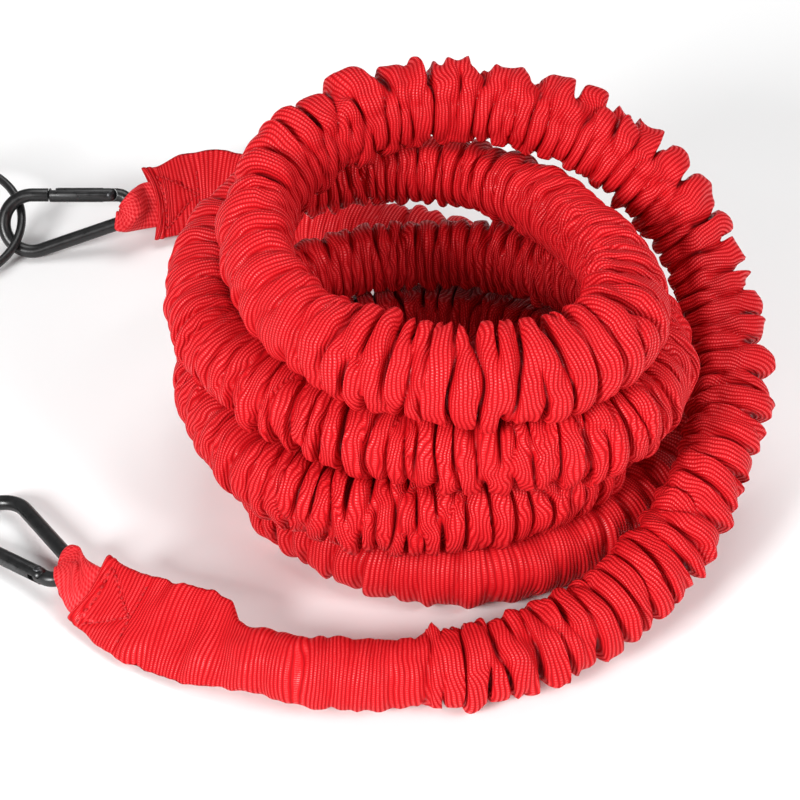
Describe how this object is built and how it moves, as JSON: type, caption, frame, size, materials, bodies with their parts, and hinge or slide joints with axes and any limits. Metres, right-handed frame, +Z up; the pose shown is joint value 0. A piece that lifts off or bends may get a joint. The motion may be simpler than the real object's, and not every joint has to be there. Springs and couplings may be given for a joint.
{
  "type": "resistance sprint trainer",
  "caption": "Elastic tow cord in a gathered red webbing sleeve, coiled in a stack, with a snap hook sewn to each end and a round belt ring in one hook.",
  "frame": {"origin": "centre of the footprint, on the floor", "axes": "+Z up, +X to the right of the picture, where the coil's outer turn is; the hooks are at -X"},
  "size_m": [0.5006, 0.4328, 0.1934],
  "materials": {
    "webbing": "gathered ribbed polyester webbing",
    "strap": "twill webbing",
    "thread": "sewing thread",
    "latex": "satin",
    "black_steel": "semi-gloss black coating",
    "zinc_steel": "zinc plated",
    "spring_steel": "drawn wire",
    "nylon": "moulded"
  },
  "bodies": {
    "trainer": {"sleeve": "webbing", "latex_tube": "latex", "lower_loop_strap": "strap", "upper_loop_strap": "strap", "lower_stitching_front": "thread", "lower_stitching_back": "thread", "upper_stitching_front": "thread", "upper_stitching_back": "thread", "lower_tube_plug": "nylon", "upper_tube_plug": "nylon", "lower_tie_band": "nylon", "upper_tie_band": "nylon"},
    "lower_hook": {"lower_hook_body": "black_steel", "lower_hinge_pin": "zinc_steel", "lower_latch_pin": "zinc_steel"},
    "lower_gate": {"lower_gate": "black_steel", "lower_gate_spring": "spring_steel"},
    "lower_plunger": {"lower_spring_plunger": "nylon"},
    "upper_hook": {"upper_hook_body": "black_steel", "upper_hinge_pin": "zinc_steel", "upper_latch_pin": "zinc_steel"},
    "upper_gate": {"upper_gate": "black_steel", "upper_gate_spring": "spring_steel"},
    "upper_plunger": {"upper_spring_plunger": "nylon"},
    "ring": {"belt_ring": "black_steel"}
  },
  "joints": [
    {"name": "lower_hook_swing", "type": "hinge", "parent": "trainer", "child": "lower_hook", "pos_m": [-0.10747, -0.11981, 0.0122], "axis": [0.595, 0.8007, 0.0694], "range_deg": [0, 40]},
    {"name": "upper_hook_swing", "type": "hinge", "parent": "trainer", "child": "upper_hook", "pos_m": [-0.09947, 0.18039, 0.024], "axis": [0, 0.6428, 0.766], "range_deg": [0, 40]},
    {"name": "lower_gate_hinge", "type": "hinge", "parent": "lower_hook", "child": "lower_gate", "pos_m": [-0.12233, -0.11911, 0.01043], "axis": [0.1183, -0.0018, -0.993], "range_deg": [0, 30], "stiffness_Nm_per_rad": 0.04, "springref_deg": -11.46},
    {"name": "upper_gate_hinge", "type": "hinge", "parent": "upper_hook", "child": "upper_gate", "pos_m": [-0.11187, 0.18579, 0.03043], "axis": [0, -0.766, 0.6428], "range_deg": [0, 30], "stiffness_Nm_per_rad": 0.04, "springref_deg": -11.46},
    {"name": "lower_plunger_slide", "type": "slide", "parent": "lower_gate", "child": "lower_plunger", "axis": [-0.795, 0.599, -0.0959], "range_m": [0, 0.0008]},
    {"name": "upper_plunger_slide", "type": "slide", "parent": "upper_gate", "child": "upper_plunger", "axis": [-1, 0, 0], "range_m": [0, 0.0008]},
    {"name": "belt_ring_swing", "type": "hinge", "parent": "upper_hook", "child": "ring", "pos_m": [-0.16487, 0.17499, 0.01757], "axis": [0, 1, 0], "range_deg": [0, 75]}
  ],
  "couplings": [
    {"joint": "lower_plunger_slide", "follows": "lower_gate_hinge", "m_per_rad": 0.0014},
    {"joint": "upper_plunger_slide", "follows": "upper_gate_hinge", "m_per_rad": 0.0014}
  ]
}
